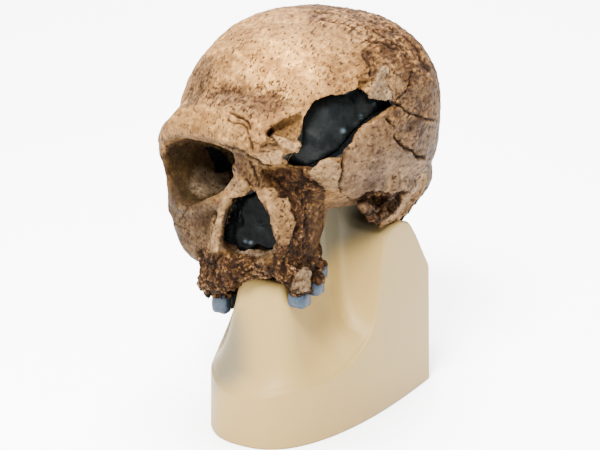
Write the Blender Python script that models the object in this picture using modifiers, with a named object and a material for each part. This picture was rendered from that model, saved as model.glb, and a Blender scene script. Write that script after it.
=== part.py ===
# A fossil human cranium, as a life-size cast on its own moulded plinth.
# Metres, +Z up. The origin is the centre of the plinth's underside. The face looks along -Y,
# and +X is the skull's own left, which is the crushed side with the broken temple.
# Skull sizes are millimetres in the skull's frame: +Z up, y = 0 near the ear holes.
import math

import bmesh
import bpy
import numpy as np
from mathutils import Matrix, Vector

MM = 0.001
SKULL_AT = Vector((-4, 32, 135))          # the skull's frame inside the part, mm
GAP = 0.3                                 # air kept between two nodes, mm
SEAT_GAP = 0.7                            # air between the skull and the plinth it sits on, mm
VOXEL = 2.3                               # fusing grid of the bone, mm
BONE_FACES = 7800                         # triangles of the fused bone before the cuts

# Braincase stations from the forehead's pole to the back's: (y, z) of the roof and of the floor,
# then half widths on the right and on the pressed-in left.
ROOF = [
    (-85, 37), (-84, 53), (-76, 70), (-57, 90), (-27, 101), (7, 99),
    (36, 90.5), (63, 74), (79, 51), (84, 30), (85, 20),
]
FLOOR = [(-85, 37), (-78, 20), (-66, 6), (-48, -6), (-22, -14), (4, -20), (28, -27), (50, -24), (68, -8), (80, 8), (85, 20)]
HALF_RIGHT = [0, 36, 54, 62, 65, 65, 62, 52, 37, 17, 0]
HALF_LEFT = [0, 35, 48, 55, 61, 63, 59, 48, 36, 17, 0]
SQUARENESS = 2.4                          # 2 is an ellipse, more is boxier

# Broken temple, seen along TEMPLE_TURN from straight ahead: (across, up) corners of its edge.
TEMPLE_TURN = 50
TEMPLE_EDGE = [
    (-49, 31), (-48, 38), (-42, 45), (-41, 58), (-33, 66), (-24, 69), (-15, 68), (-6, 71), (-2, 66),
    (12, 61), (17, 56), (3, 52), (-10, 46), (-21, 37), (-33, 32), (-38, 28),
]
TEMPLE_DEPTH = 8.5                        # the black backing lies about this far under the outside
TEMPLE_SAG = (2.5, -1.5, -4)              # its form is moved by this, so that it is deepest under the upper edge
# Right eye socket rim in the face plane: (x, y, z).
SOCKET_RIM = [
    (-58, -76, 20), (-55, -78, 29), (-47, -81, 34), (-35, -85, 37), (-24, -87, 37), (-15, -87, 34), (-9, -86, 28),
    (-7, -84, 21), (-15, -84, 11), (-26, -84, 5), (-38, -82, -2), (-46, -80, -2), (-51, -78, 3), (-56, -76, 12),
]
SOCKET_END = (-13, -38, 16)               # where the socket's cone would close
# Nose opening in the face plane at NOSE_Y: (x, z).
NOSE_Y = -87
NOSE_RIM = [
    (5, 15), (-1, 10), (-8, 7), (-11, -2), (-14, -13), (-15, -21), (-11, -27), (-4, -26), (2, -21),
    (8, -23), (15, -21), (19, -12), (16, -4), (11, 6),
]
NOSE_END = (2, -30, -12)
NOSE_BACKING = (0.12, 0.5)              # the black wall fills this stretch of the way to NOSE_END

# Sutures that part the bones.
BASE_CUT = ((0, -90, 27), (0, 0.316, 0.949))       # point and normal: roof of the skull is above it
CORONAL_CUT = ((0, -14, 100), (0, -0.94, 0.34))    # forehead is in front
LAMBDOID_CUT = ((0, 66, 64), (0, 0.87, -0.5))      # back of the head is behind
FACE_BACK = ((0, -39, 0), (0, -1, 0))              # upper jaw is in front
CHEEK_CUT = ((-43, -74, -20), (-0.91, 0.1, 0.4))   # cheekbone is outside
TEMPORAL_DISC = {1: (-22, 3, 46), -1: (-8, 3, 42)}  # side: y, z, radius of the temporal's outline
TEMPORAL_INNER = 34                                # the disc starts this far from the middle plane

# Plinth, mm in the part's frame.
PLINTH_HALF = 52
PLINTH_BACK = 72
PLINTH_LENGTH = 144
PLINTH_SHAPE = 2.5                        # power of the plan's rounded front
PLINTH_DRAFT = 0.045                      # how much the wall leans in at the top
PLINTH_LIP = [(-72, 29), (-60, 30.5), (-44, 32), (-33, 34.5), (-21, 39), (-12, 44), (-4, 50), (2, 58), (5, 66), (7, 77), (9, 92),
              (11, 103), (14, 110), (20, 113), (32, 114), (42, 110.5), (50, 101), (60, 86), (68, 75), (72, 68)]
PLINTH_SHELF = 7                          # how far the scooped front rises inside its edge
RIB = {"half": 11.5, "front": -43, "back": 30, "top": 90, "flare": 10}
POST = {"half": 15, "front": -6, "back": 40, "top": 127, "flare": 5.0}

# Teeth left in the jaw: (x, y, z of the crown's foot, width across, length along the row, height).
TEETH_RIGHT = [(-25, -76, -57, 10.5, 7.5, 9), (-26, -67, -57, 12, 11, 9), (-28, -56, -56, 12, 10.5, 8), (-29, -46, -53, 11, 9, 7)]
TEETH_LEFT = [(27, -76, -46, 11.5, 11, 8), (29, -64.5, -42, 12, 10.5, 8), (26, -54, -38, 11, 9, 7)]

COLOURS = {
    "bone": (0.52, 0.37, 0.25), "bone_dark": (0.33, 0.19, 0.10), "black": (0.012, 0.013, 0.015),
    "plinth": (0.72, 0.62, 0.47),
}


def to_part(point):
    return (Vector(point) + SKULL_AT) * MM


def clear_scene():
    for thing in list(bpy.data.objects):
        bpy.data.objects.remove(thing, do_unlink=True)


def new_collection(name):
    made = bpy.data.collections.new(name)
    bpy.context.scene.collection.children.link(made)
    return made


def material(name, roughness):
    made = bpy.data.materials.new(name)
    made.use_nodes = True
    shader = made.node_tree.nodes["Principled BSDF"]
    shader.inputs["Base Color"].default_value = (*COLOURS[name], 1)
    shader.inputs["Roughness"].default_value = roughness
    shader.inputs["Metallic"].default_value = 0
    return made


def add_mesh(name, bm, into):
    mesh = bpy.data.meshes.new(name)
    bm.to_mesh(mesh)
    bm.free()
    thing = bpy.data.objects.new(name, mesh)
    into.objects.link(thing)
    return thing


def baked(thing, name, into):
    # The object's evaluated mesh as a new plain object; the old one goes.
    bpy.context.view_layer.update()
    graph = bpy.context.evaluated_depsgraph_get()
    mesh = bpy.data.meshes.new_from_object(thing.evaluated_get(graph))
    mesh.transform(thing.matrix_world)
    bpy.data.objects.remove(thing, do_unlink=True)
    made = bpy.data.objects.new(name, mesh)
    into.objects.link(made)
    return made


def smooth_values(keys, count):
    # Catmull-Rom through the keys, read at evenly spaced places.
    keys = np.array(keys, float)
    keys = keys[:, None] if keys.ndim == 1 else keys
    padded = np.vstack([2 * keys[0] - keys[1], keys, 2 * keys[-1] - keys[-2]])
    found = []
    for place in np.linspace(0, len(keys) - 1, count):
        i = min(int(place), len(keys) - 2)
        t = place - i
        a, b, c, d = padded[i:i + 4]
        found.append(0.5 * (2 * b + (c - a) * t + (2 * a - 5 * b + 4 * c - d) * t * t + (3 * b - a - 3 * c + d) * t ** 3))
    return np.array(found)


def skin_rings(bm, rings, caps=True):
    # Joins rings of equal length with quads, and closes each end with a fan.
    rows = [[bm.verts.new(p) for p in ring] for ring in rings]
    for low, high in zip(rows, rows[1:]):
        for i in range(len(low)):
            k = (i + 1) % len(low)
            bm.faces.new((low[i], low[k], high[k], high[i]))
    if caps:
        for row, flip in ((rows[0], True), (rows[-1], False)):
            middle = sum((v.co for v in row), Vector()) / len(row)
            hub = bm.verts.new(middle)
            for i in range(len(row)):
                k = (i + 1) % len(row)
                bm.faces.new((hub, row[k], row[i]) if flip else (hub, row[i], row[k]))
    bmesh.ops.recalc_face_normals(bm, faces=bm.faces)
    return rows


def braincase(name, into, inset=0.0, rings=27, around=40):
    # Loft of tilted superellipse rings; inset draws it in evenly, which makes the inner black form.
    roof = smooth_values(ROOF, rings)
    floor = smooth_values(FLOOR, rings)
    right = smooth_values(HALF_RIGHT, rings)[:, 0]
    left = smooth_values(HALF_LEFT, rings)[:, 0]
    loops = []
    for j in range(1, rings - 1):
        centre = (roof[j] + floor[j]) / 2
        half = (roof[j] - floor[j]) / 2
        loop = []
        for i in range(around):
            turn = 2 * math.pi * i / around
            across = math.copysign(abs(math.cos(turn)) ** (2 / SQUARENESS), math.cos(turn))
            up = math.copysign(abs(math.sin(turn)) ** (2 / SQUARENESS), math.sin(turn))
            reach = left[j] if across > 0 else right[j]
            loop.append(to_part((across * reach, centre[0] + half[0] * up, centre[1] + half[1] * up)))
        loops.append(loop)
    bm = bmesh.new()
    skin_rings(bm, loops)
    if inset:
        bm.normal_update()
        moved = {v: v.co - v.normal * inset * MM for v in bm.verts}
        for v, place in moved.items():
            v.co = place
    return add_mesh(name, bm, into)


def blob(name, into, centre, radii, turn=(0, 0, 0)):
    bpy.ops.mesh.primitive_uv_sphere_add(segments=24, ring_count=14, radius=MM, location=to_part(centre))
    ball = bpy.context.object
    ball.scale = radii
    ball.rotation_euler = [math.radians(a) for a in turn]
    return baked(ball, name, into)


def limb(name, into, points, radii):
    # A round bar through the points, thicker or thinner at each.
    curve = bpy.data.curves.new(name, "CURVE")
    curve.dimensions = "3D"
    curve.bevel_depth = MM
    curve.bevel_resolution = 3
    curve.use_fill_caps = True
    spline = curve.splines.new("POLY")
    count = 3 * (len(points) - 1) + 1
    places = smooth_values(points, count)
    sizes = smooth_values(radii, count)[:, 0]
    spline.points.add(count - 1)
    for point, place, size in zip(spline.points, places, sizes):
        point.co = (*to_part(place), 1)
        point.radius = max(size, 0.4)
    bar = bpy.data.objects.new(name, curve)
    into.objects.link(bar)
    solid = baked(bar, name, into)
    bm = bmesh.new()
    bm.from_mesh(solid.data)
    bmesh.ops.remove_doubles(bm, verts=bm.verts, dist=0.00001)
    bm.to_mesh(solid.data)
    bm.free()
    return solid


def cone_through(name, into, rim, end, start, stop, grow=0.0, steps=5):
    # A cutter that follows the rim and narrows towards its end. start < 0 stands out in front.
    middle = sum((Vector(p) for p in rim), Vector()) / len(rim)
    end = Vector(end)
    loops = []
    for i in range(steps + 1):
        way = start + (stop - start) * i / steps
        narrow = 1 - way if way < 0 else math.sqrt(max(0.0, 1 - way * way))
        hub = middle + (end - middle) * way
        loop = []
        for p in rim:
            out = (Vector(p) - middle) * narrow
            loop.append(to_part(hub + out + out.normalized() * grow))
        loops.append(loop)
    bm = bmesh.new()
    skin_rings(bm, loops)
    return add_mesh(name, bm, into)


def temple_cutter(name, into, grow=0.0, far=95.0, near=4.0):
    turn = math.radians(TEMPLE_TURN)
    across = Vector((math.cos(turn), math.sin(turn), 0))
    out = Vector((math.sin(turn), -math.cos(turn), 0))
    middle = Vector((np.mean([u for u, v in TEMPLE_EDGE]), np.mean([v for u, v in TEMPLE_EDGE])))
    loops = []
    for reach in (near, (near + far) / 2, far):
        loop = []
        for corner in TEMPLE_EDGE:
            away = (Vector(corner) - middle).normalized() * grow
            u, v = Vector(corner) + away
            loop.append(to_part(across * u + out * reach + Vector((0, 0, v))))
        loops.append(loop)
    bm = bmesh.new()
    skin_rings(bm, loops)
    return add_mesh(name, bm, into)


def boolean(thing, other, how):
    step = thing.modifiers.new(how, "BOOLEAN")
    step.operation = how
    step.solver = "EXACT"
    if isinstance(other, bpy.types.Collection):
        step.operand_type = "COLLECTION"
        step.collection = other
    else:
        step.object = other


def cut(thing, others, how="DIFFERENCE"):
    into = thing.users_collection[0]
    for other in others:
        boolean(thing, other, how)
    return baked(thing, thing.name, into)


def copy_of(thing, name, into):
    made = bpy.data.objects.new(name, thing.data.copy())
    made.matrix_world = thing.matrix_world
    into.objects.link(made)
    return made


def keep_largest(thing):
    # Drops loose scraps and sealed hollows: only the largest closed surface stays.
    bm = bmesh.new()
    bm.from_mesh(thing.data)
    bmesh.ops.remove_doubles(bm, verts=bm.verts, dist=0.000004)
    bmesh.ops.dissolve_degenerate(bm, edges=bm.edges, dist=0.000004)
    left, groups = set(bm.faces), []
    while left:
        group, stack = set(), [left.pop()]
        while stack:
            face = stack.pop()
            group.add(face)
            for edge in face.edges:
                for near in edge.link_faces:
                    if near in left:
                        left.discard(near)
                        stack.append(near)
        groups.append(group)
    keep = max(groups, key=lambda g: sum(f.calc_area() for f in g))
    bmesh.ops.delete(bm, geom=[f for g in groups if g is not keep for f in g], context="FACES")
    bmesh.ops.delete(bm, geom=[v for v in bm.verts if not v.link_faces], context="VERTS")
    bmesh.ops.holes_fill(bm, edges=[e for e in bm.edges if e.is_boundary], sides=12)
    bmesh.ops.triangulate(bm, faces=bm.faces)
    bmesh.ops.recalc_face_normals(bm, faces=bm.faces)
    bm.to_mesh(thing.data)
    bm.free()
    return thing


def half_space(name, into, where, shift):
    # A 400 mm block on the far side of a cut plane, its near face moved along the normal by shift.
    point, normal = Vector(where[0]), Vector(where[1]).normalized()
    size = 400
    bpy.ops.mesh.primitive_cube_add(size=size * MM)
    block = bpy.context.object
    turn = normal.to_track_quat("Z", "X").to_matrix().to_4x4()
    block.matrix_world = Matrix.Translation(to_part(point + normal * (size / 2 + shift))) @ turn
    return baked(block, name, into)


def temporal_disc(name, into, side, grow):
    y, z, radius = TEMPORAL_DISC[side]
    depth = 60
    bpy.ops.mesh.primitive_cylinder_add(vertices=40, radius=(radius + grow) * MM, depth=(depth + grow) * MM)
    disc = bpy.context.object
    reach = TEMPORAL_INNER + depth / 2 - grow / 2
    disc.matrix_world = Matrix.Translation(to_part((side * reach, y, z))) @ Matrix.Rotation(math.pi / 2, 4, "Y")
    return baked(disc, name, into)


def split(thing, inner_name, outer_name, inside, outside, into):
    # Parts one solid in two with a thin cut: what the cutter holds, and the rest.
    kept = copy_of(thing, inner_name, into)
    rest = copy_of(thing, outer_name, into)
    bpy.data.objects.remove(thing, do_unlink=True)
    kept = keep_largest(cut(kept, [inside], "INTERSECT"))
    rest = keep_largest(cut(rest, [outside]))
    return kept, rest


def split_plane(thing, inner_name, outer_name, where, into, cutters):
    front = half_space("half_a", cutters, where, GAP / 2)
    back = half_space("half_b", cutters, where, -GAP / 2)
    pair = split(thing, inner_name, outer_name, front, back, into)
    bpy.data.objects.remove(front, do_unlink=True)
    bpy.data.objects.remove(back, do_unlink=True)
    return pair


def brow_forms(into):
    limb("brow_bar", into, [(-62, -71, 22), (-60, -75, 30), (-53, -79, 38), (-42, -83, 44), (-28, -86, 46), (-14, -89, 47),
                            (0, -91, 46), (12, -89, 43), (20, -87, 40)], [5, 6.5, 7.5, 8, 8.5, 9, 9.5, 8, 5.5])
    limb("brow_slope", into, [(-53, -72, 43), (-42, -76, 51), (-26, -79, 55), (-8, -82, 56), (8, -82, 55), (20, -79, 53)],
         [5, 7, 8, 9, 9, 6])
    limb("brow_fill", into, [(-50, -76, 45), (-40, -80, 49), (-26, -83, 51), (-8, -86, 52), (6, -86, 51), (18, -83, 49)],
         [6, 8, 9, 9.5, 9.5, 6])
    limb("left_splinter", into, [(12, -88, 37), (20, -88, 38), (26, -85, 40), (31, -82, 42)], [5, 4, 3, 1.6])
    limb("left_brow_flake", into, [(8, -90, 33), (16, -88, 31), (22, -85, 34)], [3.5, 3.2, 2])
    limb("left_temple_line", into, [(18, -86, 44), (26, -82, 50), (32, -76, 60)], [4, 4, 4])


def face_forms(into):
    # Right side, whole: outer rim of the socket, cheekbone, lower rim, plate under the socket.
    limb("outer_rim", into, [(-62, -74, 26), (-58, -74, 14), (-56.5, -74, 0), (-56, -73, -12)], [5.5, 5, 5.2, 6.5])
    blob("outer_wall", into, (-50, -62, 10), (8, 15, 20))
    blob("outer_roof", into, (-49, -66, 34), (12, 14, 12), (0, 0, 20))
    blob("cheek", into, (-49, -70, -17), (12, 9, 17), (0, -20, 0))
    limb("cheek_edge", into, [(-57, -71, -20), (-51, -71, -27), (-42, -72, -32.5), (-36, -74, -37)], [4.5, 4, 3.8, 3.8])
    limb("lower_rim", into, [(-55, -75, -2), (-48, -80, -5), (-36, -83, -4), (-24, -85, 1), (-14, -86, 8), (-8, -86, 16), (-6, -87, 28)],
         [4.5, 4.5, 4, 4, 3.8, 3.4, 4])
    blob("cheek_plate", into, (-35, -75, -19), (21, 9, 22))
    blob("socket_back", into, (-34, -60, 12), (27, 22, 24))
    limb("nose_edge_right", into, [(-4, -88, 17), (-11, -88, 9), (-15, -88, -3), (-19, -87, -14), (-20, -86, -24), (-17, -85, -31)],
         [3.5, 3.5, 3.2, 3.4, 3.6, 4])
    # Nose bridge and its broken lower ends.
    limb("nose_bridge", into, [(2, -88, 36), (2, -89, 26), (2, -89, 18)], [8, 7, 5.5])
    # Left side, crushed back: a displaced plate beside the nose and a rough mass behind it.
    limb("nose_edge_left", into, [(8, -87, 22), (12, -86, 12), (18, -85, 2), (22, -85, -8), (22, -85, -18), (18, -85, -25)],
         [4.5, 4.5, 5, 5.5, 5, 4])
    blob("left_wall", into, (19, -66, -8), (12, 21, 33), (0, 4, 0))
    blob("left_root", into, (17, -64, 22), (17, 18, 12))
    limb("left_cheek_stump", into, [(22, -70, -20), (24, -63, -27), (24, -58, -33)], [6, 5, 4])
    # Jaw: lumps that carried the front teeth, the notch between them, and the rows behind.
    limb("jaw_right", into, [(-33, -76, -50), (-27, -80, -47), (-17, -83, -42), (-6, -85, -35), (3, -86, -30)], [8, 8.5, 8.5, 7, 4.5])
    limb("jaw_right_up", into, [(-30, -77, -34), (-20, -83, -33), (-8, -85, -29)], [7, 6, 5])
    limb("jaw_right_row", into, [(-29, -76, -50), (-30, -64, -49), (-31, -52, -47), (-30, -43, -44)], [8, 8, 8, 7.5])
    limb("jaw_left", into, [(8, -87, -28), (17, -86, -29), (24, -83, -33), (28, -79, -37)], [4, 5, 6.5, 7])
    limb("jaw_left_row", into, [(25, -78, -36), (25, -68, -35), (22, -58, -32), (19, -48, -29)], [7.5, 7, 7, 7])
    blob("palate", into, (0, -60, -35), (30, 27, 8), (0, -9, 0))
    blob("nose_floor", into, (2, -72, -30), (18, 16, 5))
    blob("face_core", into, (0, -52, -12), (27, 26, 26))
    blob("face_root", into, (-4, -50, 16), (30, 32, 26))
    blob("throat_roof", into, (-2, -28, -8), (18, 22, 10))


def ear_forms(into):
    # Rough mastoid stumps, the roots of the cheek arches and the rim over the left ear hole.
    blob("mastoid_left", into, (43, 5, -10), (9, 17, 13))
    blob("mastoid_left_tip", into, (44, -9, -11), (8, 13, 11))
    blob("nape_left", into, (40, 28, -4), (15, 22, 16))
    blob("mastoid_right", into, (-50, 12, -16), (9, 13, 16))
    limb("arch_root_left", into, [(48, -26, 7), (46, -40, 11), (43, -54, 16), (39, -66, 22)], [6, 5.5, 5, 4.5])
    limb("arch_root_right", into, [(-60, -12, 4), (-62, -26, 3), (-63, -38, 2)], [6, 5, 3.5])
    limb("ear_ridge_left", into, [(52, -22, 8), (52, -8, 2), (50, 6, -2), (48, 20, -4)], [5, 6, 6, 5])


def fuse_bone(forms, into):
    # One skin over all the overlapping forms, then eased to a modest number of triangles.
    bm = bmesh.new()
    for form in list(forms.objects):
        bm.from_mesh(form.data)
        bpy.data.objects.remove(form, do_unlink=True)
    whole = add_mesh("cranium", bm, into)
    remesh = whole.modifiers.new("fuse", "REMESH")
    remesh.mode = "VOXEL"
    remesh.voxel_size = VOXEL * MM
    ease = whole.modifiers.new("ease", "SMOOTH")
    ease.factor = 0.5
    ease.iterations = 3
    whole = baked(whole, "cranium", into)
    keep_largest(whole)
    thin = whole.modifiers.new("thin", "DECIMATE")
    thin.ratio = BONE_FACES / len(whole.data.polygons)
    whole = baked(whole, "cranium", into)
    return keep_largest(whole)


def lip_height(y):
    ys = [k[0] for k in PLINTH_LIP]
    zs = [k[1] for k in PLINTH_LIP]
    return float(np.interp(y, ys, zs))


def lip_rows(step=3.6):
    # Places along the plinth, back to front: every bend of its edge, and more between them.
    ys = [k[0] for k in PLINTH_LIP]
    rows = []
    for low, high in zip(ys, ys[1:]):
        parts = max(1, math.ceil((high - low) / step))
        rows += [low + (high - low) * i / parts for i in range(parts)]
    rows += [PLINTH_BACK, -71.6, -70.6, -69]
    return sorted(rows, reverse=True)


def raised(x, y, low, form, clear):
    # Height of a round-cornered block that flares out of the surface at height low.
    beside = max(0.0, abs(x) - form["half"] - clear)
    before = max(0.0, form["front"] - clear - y)
    behind = max(0.0, y - form["back"] - clear)
    away = math.hypot(beside, max(before, behind)) / form["flare"]
    return low + max(0.0, form["top"] + clear - low) / (1 + away ** 3)


def plinth(name, into, clear=0.0):
    # Plan lines run across between the two walls; the top surface is a height over each point.
    places, columns = lip_rows(), 33
    rows = len(places)
    bm = bmesh.new()
    top, base = [], []
    for y in places:
        depth = min(1.0, (PLINTH_BACK - y) / PLINTH_LENGTH)
        half = PLINTH_HALF * max(0.0006, 1 - depth ** PLINTH_SHAPE) ** (1 / PLINTH_SHAPE)
        corner = max(0.0, 1 - (PLINTH_BACK - y) / 7)
        half -= 3.5 * corner ** 2
        top_row, base_row = [], []
        for i in range(columns):
            s = 2 * i / (columns - 1) - 1
            s = math.copysign(abs(s) ** 1.15, s)
            x = s * half
            edge = lip_height(y)
            inward = 70 * (1 - ((abs(x) / PLINTH_HALF) ** PLINTH_SHAPE + depth ** PLINTH_SHAPE) ** (1 / PLINTH_SHAPE))
            z = edge + PLINTH_SHELF * (1 - math.exp(-max(0.0, inward) / 10)) * max(0.0, min(1.0, -y / 12))
            z = raised(x, y, z, RIB, clear)
            z = raised(x, y, z, POST, clear) + clear
            lean = 1 - PLINTH_DRAFT * z / POST["top"]
            top_row.append(bm.verts.new(Vector((x * lean, y * lean, z)) * MM))
            base_row.append(bm.verts.new(Vector((x, y, 0)) * MM))
        top.append(top_row)
        base.append(base_row)
    for grid, flip in ((top, False), (base, True)):
        for j in range(rows - 1):
            for i in range(columns - 1):
                ring = (grid[j][i], grid[j][i + 1], grid[j + 1][i + 1], grid[j + 1][i])
                bm.faces.new(ring[::-1] if not flip else ring)
    rim = [(0, i) for i in range(columns)] + [(j, columns - 1) for j in range(1, rows)]
    rim += [(rows - 1, i) for i in range(columns - 2, -1, -1)] + [(j, 0) for j in range(rows - 2, 0, -1)]
    for (a, b), (c, d) in zip(rim, rim[1:] + rim[:1]):
        bm.faces.new((base[a][b], base[c][d], top[c][d], top[a][b]))
    bmesh.ops.recalc_face_normals(bm, faces=bm.faces)
    bmesh.ops.dissolve_limit(bm, angle_limit=math.radians(0.4), verts=bm.verts, edges=bm.edges)
    bmesh.ops.triangulate(bm, faces=bm.faces)
    return add_mesh(name, bm, into)


def add_teeth(jaw, row, into, side):
    # Each crown is a rounded block with its root sunk into the jaw.
    teeth = new_collection("teeth_" + side)
    for i, (x, y, z, wide, long, tall) in enumerate(row):
        root = 5
        bpy.ops.mesh.primitive_cube_add(size=MM)
        crown = bpy.context.object
        crown.scale = (wide, long, tall + root)
        crown.location = to_part((x, y, z - tall / 2 + root / 2))
        bpy.ops.object.transform_apply(location=False, rotation=False, scale=True)
        soft = crown.modifiers.new("soft", "BEVEL")
        soft.width = 2.4 * MM
        soft.segments = 2
        baked(crown, "tooth_%s_%d" % (side, i), teeth)
    jaw = cut(jaw, [teeth], "UNION")
    for tooth in list(teeth.objects):
        bpy.data.objects.remove(tooth, do_unlink=True)
    bpy.data.collections.remove(teeth)
    return keep_largest(jaw)


def backing(name, into, cutter, inner):
    # Black backing: the part of a recess, kept clear of its walls, that lies inside the inner form.
    fill = copy_of(cutter, name, into)
    fill = cut(fill, [inner], "INTERSECT")
    return keep_largest(fill)


def main():
    clear_scene()
    parts = new_collection("fossil_cranium")
    cutters = new_collection("cutters")
    forms = new_collection("forms")

    braincase("braincase", forms)
    brow_forms(forms)
    face_forms(forms)
    ear_forms(forms)
    cranium = fuse_bone(forms, parts)

    nose_rim = [(x, NOSE_Y, z) for x, z in NOSE_RIM]
    temple_hole = temple_cutter("temple_hole", cutters)
    temple_plug = temple_cutter("temple_plug", cutters, grow=-0.8, near=4 + GAP)
    socket = cone_through("socket", cutters, SOCKET_RIM, SOCKET_END, -0.35, 0.93)
    nose = cone_through("nose", cutters, nose_rim, NOSE_END, -0.3, NOSE_BACKING[1])
    cone_through("black_nose_backing", parts, nose_rim, NOSE_END, NOSE_BACKING[0], NOSE_BACKING[1] - 0.01, grow=-0.8)
    inner = braincase("inner_form", cutters, inset=TEMPLE_DEPTH)
    inner.data.transform(Matrix.Translation(Vector(TEMPLE_SAG) * MM))
    seat = plinth("seat", cutters, clear=SEAT_GAP)

    cranium = keep_largest(cut(cranium, [temple_hole, socket, nose, seat]))
    temple_backing = backing("black_temple_backing", parts, temple_plug, inner)
    socket_wide = cone_through("socket_wide", cutters, SOCKET_RIM, SOCKET_END, -0.35, 0.93, grow=1.2)
    keep_largest(cut(temple_backing, [socket_wide]))

    for side, name in ((1, "temporal_left"), (-1, "temporal_right")):
        inside = temporal_disc("disc_in", cutters, side, 0)
        outside = temporal_disc("disc_out", cutters, side, GAP)
        temporal, cranium = split(cranium, name, "cranium", inside, outside, parts)
    above, below = split_plane(cranium, "vault", "base", BASE_CUT, parts, cutters)
    frontal, behind = split_plane(above, "frontal_bone", "vault_back", CORONAL_CUT, parts, cutters)
    occipital, middle = split_plane(behind, "occipital_bone", "parietals", LAMBDOID_CUT, parts, cutters)
    split_plane(middle, "parietal_left", "parietal_right", ((0, 0, 0), (1, 0, 0)), parts, cutters)
    face, base = split_plane(below, "face", "sphenoid_base", FACE_BACK, parts, cutters)
    cheek, jaw = split_plane(face, "cheekbone_right", "upper_jaw", CHEEK_CUT, parts, cutters)
    jaw = add_teeth(jaw, TEETH_RIGHT, parts, "right")
    jaw = add_teeth(jaw, TEETH_LEFT, parts, "left")
    plinth("plinth", parts)

    for thing in list(cutters.objects):
        bpy.data.objects.remove(thing, do_unlink=True)
    bone = material("bone", 0.62)
    rough_bone = material("bone_dark", 0.75)
    black = material("black", 0.18)
    cream = material("plinth", 0.45)
    for thing in parts.objects:
        chosen = bone
        if thing.name == "upper_jaw":
            chosen = rough_bone
        if thing.name.startswith("black_"):
            chosen = black
        if thing.name == "plinth":
            chosen = cream
        thing.data.materials.clear()
        thing.data.materials.append(chosen)
        thing.data.shade_smooth()
        thing.data.set_sharp_from_angle(angle=math.radians(40))
        print(thing.name, len(thing.data.polygons))


main()
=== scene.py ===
import math

import bmesh
import bpy
import numpy as np
from mathutils import Matrix, Vector


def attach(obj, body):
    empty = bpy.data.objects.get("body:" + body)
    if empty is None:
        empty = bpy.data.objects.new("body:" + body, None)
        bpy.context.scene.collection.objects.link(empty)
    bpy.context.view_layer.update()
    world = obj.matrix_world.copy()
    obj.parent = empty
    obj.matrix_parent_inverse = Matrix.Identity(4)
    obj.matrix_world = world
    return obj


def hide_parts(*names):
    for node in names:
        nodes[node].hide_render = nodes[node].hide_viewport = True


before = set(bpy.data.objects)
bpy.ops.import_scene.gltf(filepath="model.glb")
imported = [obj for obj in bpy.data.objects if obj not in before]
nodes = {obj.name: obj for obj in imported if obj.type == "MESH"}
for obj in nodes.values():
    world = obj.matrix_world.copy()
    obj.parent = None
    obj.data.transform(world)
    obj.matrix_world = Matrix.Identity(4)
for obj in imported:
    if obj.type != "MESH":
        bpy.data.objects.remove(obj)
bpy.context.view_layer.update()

mm = 0.001
skullAt = np.array((-4.0, 32.0, 135.0))    # the skull's frame inside the part, mm
skinVoxel = 0.7                            # grid that the skins are made on, mm
noiseTable = np.random.default_rng(11)
gradients = noiseTable.normal(size=(256, 3))
gradients /= np.linalg.norm(gradients, axis=1)[:, None]
shuffled = noiseTable.permutation(256)
jitter = noiseTable.random((256, 3))

# The camera, mm in the part's frame. Marks on the skin are drawn in its picture.
pictureWide = 600
pictureHigh = 450
eyeAt = np.array((507.35, -882.23, 472.48))
aimAt = np.array((-11.10, 15.75, 105.29))
lens = 111
sensor = 36
viewBack = (eyeAt - aimAt) / np.linalg.norm(eyeAt - aimAt)
viewRight = np.cross((0, 0, 1), viewBack)
viewRight /= np.linalg.norm(viewRight)
viewUp = np.cross(viewBack, viewRight)


def smoothStep(low, high, value):
    share = np.clip((value - low) / (high - low), 0, 1)
    return share * share * (3 - 2 * share)


def cellHash(cell):
    return shuffled[(shuffled[(shuffled[cell[:, 0] & 255] + cell[:, 1]) & 255] + cell[:, 2]) & 255]


def noise(points, size, seed=0.0):
    # Gradient noise, about -1 to 1, with features of the given size in mm.
    place = points / np.asarray(size, float) + seed * 7.31
    cell = np.floor(place).astype(int)
    part = place - cell
    ease = part ** 3 * (part * (part * 6 - 15) + 10)
    total = np.zeros(len(points))
    for corner in range(8):
        step = np.array((corner & 1, corner >> 1 & 1, corner >> 2 & 1))
        weight = np.prod(np.where(step, ease, 1 - ease), axis=1)
        total += weight * np.einsum("ij,ij->i", gradients[cellHash(cell + step)], part - step)
    return total * 1.6


def layered(points, size, octaves, seed=0.0, gain=0.5):
    total = np.zeros(len(points))
    size = np.asarray(size, float)
    for octave in range(octaves):
        total += noise(points, size / 2 ** octave, seed + octave) * gain ** octave
    return total


def nearestCell(points, size, seed=0.0):
    # Distance to the nearest of scattered points, in units of size.
    place = points / size + seed * 3.17
    cell = np.floor(place).astype(int)
    near = np.full(len(points), 9.0)
    for x in (-1, 0, 1):
        for y in (-1, 0, 1):
            for z in (-1, 0, 1):
                spot = cell + np.array((x, y, z))
                away = np.linalg.norm(spot + jitter[cellHash(spot)] - place, axis=1)
                near = np.minimum(near, away)
    return near


def alongLine(spots, line):
    # Distance from each spot to a line of joined stretches, and how far along it that is.
    line = np.asarray(line, float)
    best = np.full(len(spots), 1e9)
    place = np.zeros(len(spots))
    for i, (start, end) in enumerate(zip(line, line[1:])):
        run = end - start
        share = np.clip((spots - start) @ run / (run @ run), 0, 1)
        away = np.linalg.norm(spots - start - share[:, None] * run, axis=1)
        nearer = away < best
        best = np.where(nearer, away, best)
        place = np.where(nearer, (i + share) / (len(line) - 1), place)
    return best, place


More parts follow.
